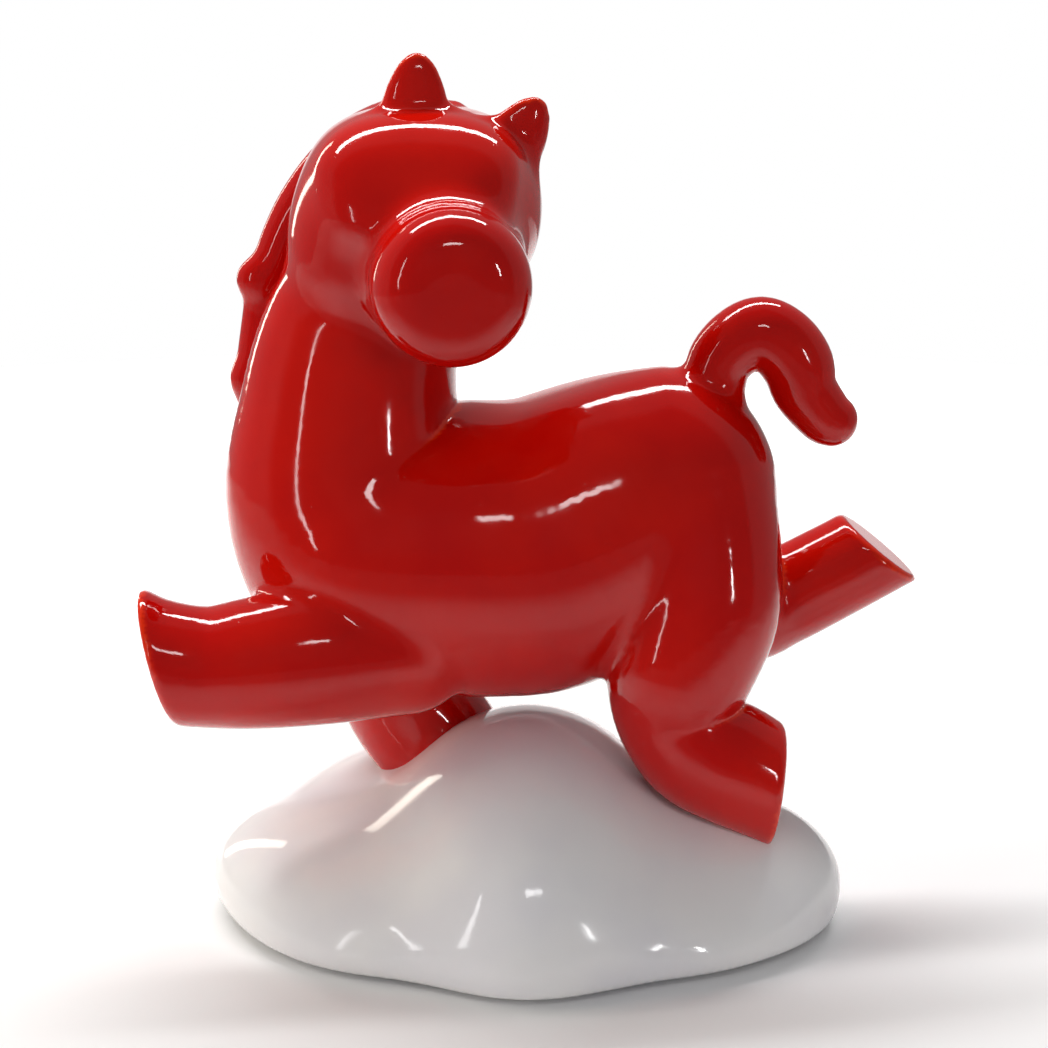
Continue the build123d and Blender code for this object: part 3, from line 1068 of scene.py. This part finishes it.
@dataclass
class Horse:
    """The red castings: body, neck, head, ears, mane, legs and tail, under one glaze."""

    finish: GlazeFinish
    voxel: float = 0.9
    torso: Torso = Torso()
    head: Head = Head()
    right_ear: Petal = Petal(
        foot=(-28.5, -6, 201), tip=(-27.5, -6, 217.5), facing=(0.0, -1, -0.1),
        half_width=8.0, half_thickness=3.6,
    )
    left_ear: Petal = Petal(
        foot=(-7.4, -6, 193.5), tip=(1.2, -6, 206.8), facing=(0.25, -1, -0.1),
        half_width=7.8, half_thickness=3.4,
    )
    ear_fillet: float = 3.0
    mane: Mane = Mane()
    legs: tuple[Leg, ...] = (
        Leg(
            "left_fore_leg",
            (
                (-31.5, -17.5, 75.5, 17.2), (-51.5, -24, 75.3, 17.4), (-67.0, -26, 73.6, 16.2),
                (-79.5, -26, 72.5, 14.9), (-93.0, -26, 74.2, 15.4), (-104.0, -26, 77.4, 17.0),
            ),
            sole_point=(-91.4, -26, 74), sole_outward=(-0.97, 0, -0.25), sole_rim=2.5, fillet=3.0,
        ),
        Leg(
            "right_fore_leg",
            (
                (-35.5, 14, 73.0, 16.6), (-33.4, 18, 52.9, 16.8), (-24.2, 18, 38.2, 16.8),
                (-15.5, 18, 23.0, 16.8),
            ),
            sole_point=(-18.8, 18, 34.6), sole_outward=(0.54, 0, -0.84), sole_rim=5.0, fillet=4.0,
        ),
        Leg(
            "left_hind_leg",
            (
                (37.6, -6, 112.0, 22.8), (41.0, -12, 98.0, 20.6), (41.2, -16, 85.0, 20.0),
                (36.8, -19, 71.0, 18.3), (34.8, -20, 59.8, 14.8), (41.0, -20, 50.4, 15.4),
                (50.0, -20, 45.3, 15.4), (60.0, -20, 40.0, 14.4), (70.0, -20, 35.2, 14.4),
            ),
            sole_point=(61.2, -20, 39.5), sole_outward=(0.99, 0, -0.13), sole_rim=1.8, fillet=4.0,
        ),
        Leg(
            "right_hind_leg",
            (
                (40.5, 10, 92.0, 20.5), (54.0, 15, 76.8, 14.6), (64.0, 18, 77.8, 12.8),
                (77.5, 18, 84.7, 12.3), (89.0, 18, 91.2, 12.2), (101.5, 18, 98.7, 12.4),
            ),
            sole_point=(90.0, 18, 91.6), sole_outward=(0.634, 0, 0.773), sole_rim=1.5, fillet=4.0,
        ),
    )
    tail_stations: tuple[Station, ...] = (
        (45.0, 0, 136.5, 7.7), (46.5, 0, 143.5, 8.1), (51.0, 0, 148.5, 8.6), (56.5, 0, 150.5, 9.1),
        (61.8, 0, 147.8, 9.2), (65.6, 0, 142.8, 9.0), (67.6, 0, 136.5, 8.1), (72.2, 0, 130.3, 7.2),
        (74.4, 0, 128.7, 6.6),
    )
    tail_fillet: float = 3.5

    def castings(self) -> list[Casting]:
        """All the red castings, in the order in which they run into each other.

        Returns:
            The castings.
        """
        return [
            *self.torso.castings(),
            self.head.casting(),
            Casting("right_ear", self.right_ear, self.ear_fillet),
            Casting("left_ear", self.left_ear, self.ear_fillet),
            self.mane.casting(),
            *(leg.casting() for leg in self.legs),
            Casting("tail", Tube(self.tail_stations), self.tail_fillet),
        ]

    def build(self) -> list[bpy.types.Object]:
        """Draw the skin, part it and dress each casting."""
        return GlazeSkin(self.castings(), self.voxel).dress(Slot.RED, self.finish.material())


@dataclass
class Cloud:
    """The white cloud that carries the horse, with lobes round its edge."""

    finish: GlazeFinish
    voxel: float = 1.2
    foot_rim: float = 3.0
    lobe_fillet: float = 18.0
    lobes: tuple[Egg, ...] = (
        Egg((-1, -9, 2), (42, 58, 52.5)),
        Egg((-45, 1, 10), (37.5, 37, 19)),
        Egg((44, -9, 10), (34.5, 30, 23)),
        Egg((-32, 35, 4), (32, 31, 28)),
        Egg((-36, -22, 6), (30, 30, 16)),
        Egg((32, -19, 6), (33, 34, 13)),
        Egg((23, 28, 6), (40, 32, 20)),
    )

    def build(self) -> list[bpy.types.Object]:
        """Draw the cloud on its felt and dress it.

        Returns:
            The cloud's one piece.
        """
        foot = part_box("base_felt")[1][2] / MM
        form = Cut(Blend(self.lobes, self.lobe_fillet), (0, 0, foot), (0, 0, -1), self.foot_rim)
        skin = GlazeSkin([Casting("cloud_shell", form)], self.voxel)
        return skin.dress(Slot.WHITE, self.finish.material())


@dataclass
class Fittings:
    """The felt sheet under the cloud and the two pins in it, which keep their CAD meshes."""

    felt: FeltFinish
    steel: SteelFinish
    sheet: str = "base_felt"
    pins: tuple[str, ...] = ("fore_dowel", "hind_dowel")

    def build(self) -> list[bpy.types.Object]:
        """Dress the felt and the pins.

        Returns:
            Their objects.
        """
        felt = self.felt.material()
        steel = self.steel.material()
        pieces = [bpy.data.objects[node] for node in (self.sheet, *self.pins)]
        for piece in pieces:
            piece.data.materials[0] = felt if piece.name == self.sheet else steel
        return pieces


@dataclass(frozen=True)
class Lamp:
    """Soft rectangular lamp: its place and size in metres, its power in watts and its tone.

    A lamp that isn't mirrored lights the glaze, but its shape doesn't show in it.
    """

    name: str
    place: Point
    size: tuple[float, float]
    power: float
    tone: Tone = Tone.PLAIN
    mirrored: bool = True

    def hang(self, aim: Point) -> None:
        """Hang the lamp in the scene.

        Args:
            aim: Point that it faces.
        """
        data = bpy.data.lights.new(self.name, "AREA")
        data.color = self.tone.value
        data.shape = "RECTANGLE"
        data.size, data.size_y = self.size
        data.energy = self.power
        lamp = bpy.data.objects.new(self.name, data)
        lamp.location = self.place
        lamp.visible_glossy = self.mirrored
        lamp.rotation_euler = (Vector(self.place) - Vector(aim)).to_track_quat("Z", "Y").to_euler()
        bpy.context.scene.collection.objects.link(lamp)


@dataclass(frozen=True)
class Cone:
    """Cone of directions with a soft rim and a brightness of its own."""

    axis: Point
    half_angle_deg: float
    softness_deg: float
    level: float

    def rim(self) -> Range:
        """Cosines at the outer and the inner end of the soft rim."""
        outer, inner = self.half_angle_deg + self.softness_deg, self.half_angle_deg - self.softness_deg
        return math.cos(math.radians(outer)), math.cos(math.radians(inner))


@dataclass
class Studio:
    """Pale floor, soft lamps, a grey room and the camera at the photograph's angle, in metres."""

    aim: Point = (-0.002, 0.0, 0.102)
    elevation_deg: float = 14.0
    camera_distance: float = 0.680
    lens_mm: float = 93.0
    sensor_mm: float = 36.0
    floor_finish: FloorFinish = FloorFinish("pale_floor")
    floor_radius: float = 0.8
    floor_sides: int = 96
    room_level: float = 0.26
    white_deg: float = 17.0
    white_softness_deg: float = 3.0
    white_level: float = 1.0
    dark_deg: float = 76.0
    dark_softness_deg: float = 5.0
    dark_level: float = 0.12
    lamp_aim: Point = (0.0, 0.0, 0.11)
    lamps: tuple[Lamp, ...] = (
        Lamp("ceiling", (-0.12, 0.5, 1.2), (1.5, 0.15), 16.0),
        Lamp("left_wall", (-1.1, -0.1, 0.45), (0.5, 0.8), 5.0, Tone.WARM, mirrored=False),
        Lamp("front_fill", (0.0, -1.2, 0.6), (1.0, 0.8), 2.2, Tone.COOL, mirrored=False),
        Lamp("left_rim", (-0.75, 0.9, 0.45), (0.12, 0.8), 2.0, Tone.WARM),
        Lamp("left_strip", (-0.85, -0.78, 0.35), (0.05, 0.6), 1.0),
        Lamp("right_pane", (0.75, -0.8, 0.28), (0.04, 0.2), 0.9),
        Lamp("front_pane", (0.1, -0.95, 0.78), (0.3, 0.08), 1.0),
    )

    def build(self) -> None:
        """Set up the camera, the floor, the lamps and the room."""
        self.place_camera()
        self.lay_floor()
        for lamp in self.lamps:
            lamp.hang(self.lamp_aim)
        self.paint_room()

    def place_camera(self) -> None:
        """Camera in front of the horse's left side, a little above it."""
        tilt = math.radians(self.elevation_deg)
        camera = bpy.data.objects.new("camera", bpy.data.cameras.new("camera"))
        camera.data.lens = self.lens_mm
        camera.data.sensor_width = self.sensor_mm
        camera.location = (
            self.aim[0],
            self.aim[1] - self.camera_distance * math.cos(tilt),
            self.aim[2] + self.camera_distance * math.sin(tilt),
        )
        camera.rotation_euler = (math.pi / 2 - tilt, 0.0, 0.0)
        bpy.context.scene.collection.objects.link(camera)
        bpy.context.scene.camera = camera

    def lay_floor(self) -> None:
        """Round floor that the ornament stands on."""
        turns = [2 * math.pi * step / self.floor_sides for step in range(self.floor_sides)]
        radius = self.floor_radius
        rim = [(radius * math.cos(turn), radius * math.sin(turn), 0.0) for turn in turns]
        mesh = bpy.data.meshes.new("floor")
        mesh.from_pydata(rim, [], [tuple(range(self.floor_sides))])
        mesh.materials.append(self.floor_finish.material())
        floor = bpy.data.objects.new("floor", mesh)
        bpy.context.scene.collection.objects.link(floor)

    def cones(self) -> tuple[Cone, ...]:
        """White cone behind the ornament, and dark cone in front of it.

        Returns:
            The cones, each over the ones before it.
        """
        tilt = math.radians(self.elevation_deg)
        behind = (0.0, math.cos(tilt / 2), -math.sin(tilt / 2))
        ahead = (0.0, -math.cos(tilt), math.sin(tilt))
        return (
            Cone(behind, self.white_deg, self.white_softness_deg, self.white_level),
            Cone(ahead, self.dark_deg, self.dark_softness_deg, self.dark_level),
        )

    def paint_room(self) -> None:
        """Grey room that is white behind the ornament and dark towards the front."""
        world = bpy.data.worlds.new("room")
        world.use_nodes = True
        bpy.context.scene.world = world
        tree = world.node_tree
        place = tree.nodes.new("ShaderNodeTexCoord")
        level = None
        for cone in self.cones():
            facing = tree.nodes.new("ShaderNodeVectorMath")
            facing.operation = "DOT_PRODUCT"
            facing.inputs[1].default_value = cone.axis
            tree.links.new(place.outputs["Generated"], facing.inputs[0])
            fade = smooth_range(tree, facing.outputs["Value"], cone.rim(), (self.room_level, cone.level))
            if level is not None:
                tree.links.new(level, fade.inputs["To Min"])
            level = fade.outputs["Result"]
        tree.links.new(level, tree.nodes["Background"].inputs["Strength"])
        tree.nodes["Background"].inputs["Color"].default_value = (1.0, 1.0, 1.0, 1.0)


def main() -> None:
    """Build the ornament piece by piece, report each piece and set up the studio."""
    logging.basicConfig(level=logging.INFO, format="%(name)s: %(message)s")
    bpy.context.scene.view_settings.view_transform = "Standard"
    red = GlazeFinish(
        "red_glaze",
        deep=(0.52, 0.0016, 0.0006),
        full=(0.6, 0.005, 0.001),
        thin=(0.76, 0.028, 0.002),
        roughness=0.045,
        specular=0.45,
    )
    white = GlazeFinish(
        "white_glaze",
        deep=(0.76, 0.75, 0.77),
        full=(0.82, 0.81, 0.8),
        thin=(0.84, 0.83, 0.81),
        roughness=0.06,
        specular=0.4,
    )
    felt = FeltFinish("pale_felt", colour=(0.6, 0.58, 0.54), shade=(0.45, 0.43, 0.4))
    steel = SteelFinish("drawn_rod", colour=(0.62, 0.62, 0.62), shade=(0.45, 0.45, 0.45))
    for assembly in (Horse(red), Cloud(white), Fittings(felt, steel)):
        for piece in assembly.build():
            log.info("%s: %d faces", piece.name, len(piece.data.polygons))
    Studio().build()


if __name__ == "__main__":
    main()
